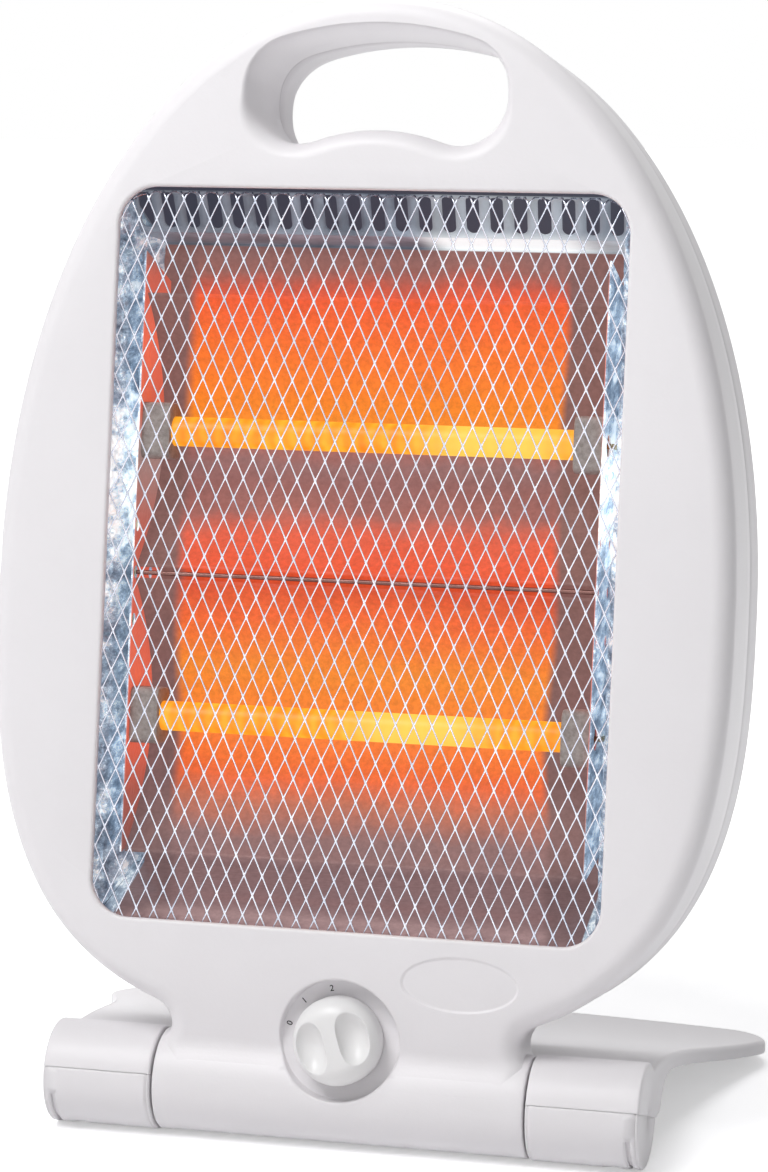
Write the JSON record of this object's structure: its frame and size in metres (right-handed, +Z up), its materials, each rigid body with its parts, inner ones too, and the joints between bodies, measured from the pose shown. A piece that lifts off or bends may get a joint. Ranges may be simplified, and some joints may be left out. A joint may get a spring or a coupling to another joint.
{
  "type": "quartz heater",
  "caption": "Upright radiant quartz heater: egg-shaped white head with mesh-covered glowing tubes, hand hole and rotary knob, tilting on a flat foot.",
  "frame": {"origin": "centre of the bounding box at the floor, with the head in its rest lean", "axes": "+X to the viewer's right when facing the grille, -Y out of the front, +Z up"},
  "size_m": [0.252, 0.166, 0.3793],
  "materials": {
    "white_plastic": "satin moulded plastic",
    "grey_white_plastic": "satin moulded plastic",
    "chrome_wire": "bright plating",
    "reflector_sheet": "bright rolled sheet",
    "quartz": "frosted quartz",
    "winding_wire": "glowing resistance wire",
    "ceramic": "grey ceramic",
    "bakelite": "dark moulded resin",
    "nylon": "natural nylon",
    "zinc_steel": "zinc plated",
    "black_rubber": "matte",
    "lead_sleeve": "woven glass sleeve",
    "lead_grey": "insulated lead"
  },
  "bodies": {
    "foot": {"foot_base": "white_plastic", "left_cover": "white_plastic", "right_cover": "white_plastic", "cover_screws": "zinc_steel", "foot_pads": "black_rubber", "left_bush": "nylon", "right_bush": "nylon"},
    "head": {"front_shell": "white_plastic", "rear_shell": "grey_white_plastic", "grille": "chrome_wire", "reflector_tray": "reflector_sheet", "upper_reflector": "reflector_sheet", "lower_reflector": "reflector_sheet", "left_end_plate": "reflector_sheet", "right_end_plate": "reflector_sheet", "plate_rivets": "zinc_steel", "guard_rod": "chrome_wire", "upper_tube": "quartz", "lower_tube": "quartz", "upper_winding": "winding_wire", "lower_winding": "winding_wire", "upper_left_holder": "ceramic", "upper_right_holder": "ceramic", "lower_left_holder": "ceramic", "lower_right_holder": "ceramic", "heat_shield": "reflector_sheet", "shield_screws": "zinc_steel", "thermal_cutout": "zinc_steel", "tip_switch": "bakelite", "terminal_block": "nylon", "rotary_switch": "bakelite", "switch_nut": "zinc_steel", "switch_screws": "zinc_steel", "inlet_grommet": "black_rubber", "tube_leads": "lead_sleeve", "supply_leads": "lead_grey", "shell_screws": "zinc_steel", "tray_screws": "zinc_steel", "hinge_tube": "zinc_steel", "left_spring_washer": "zinc_steel", "right_spring_washer": "zinc_steel"},
    "knob": {"knob": "white_plastic", "switch_shaft": "zinc_steel"}
  },
  "joints": [
    {"name": "head_tilt", "type": "hinge", "parent": "foot", "child": "head", "pos_m": [0, -0.061, 0.0175], "axis": [1, 0, 0], "range_deg": [-5, 10]},
    {"name": "knob_turn", "type": "hinge", "parent": "head", "child": "knob", "pos_m": [0, -0.06873, 0.03816], "axis": [0, -0.9848, 0.1736], "range_deg": [0, 60]}
  ]
}
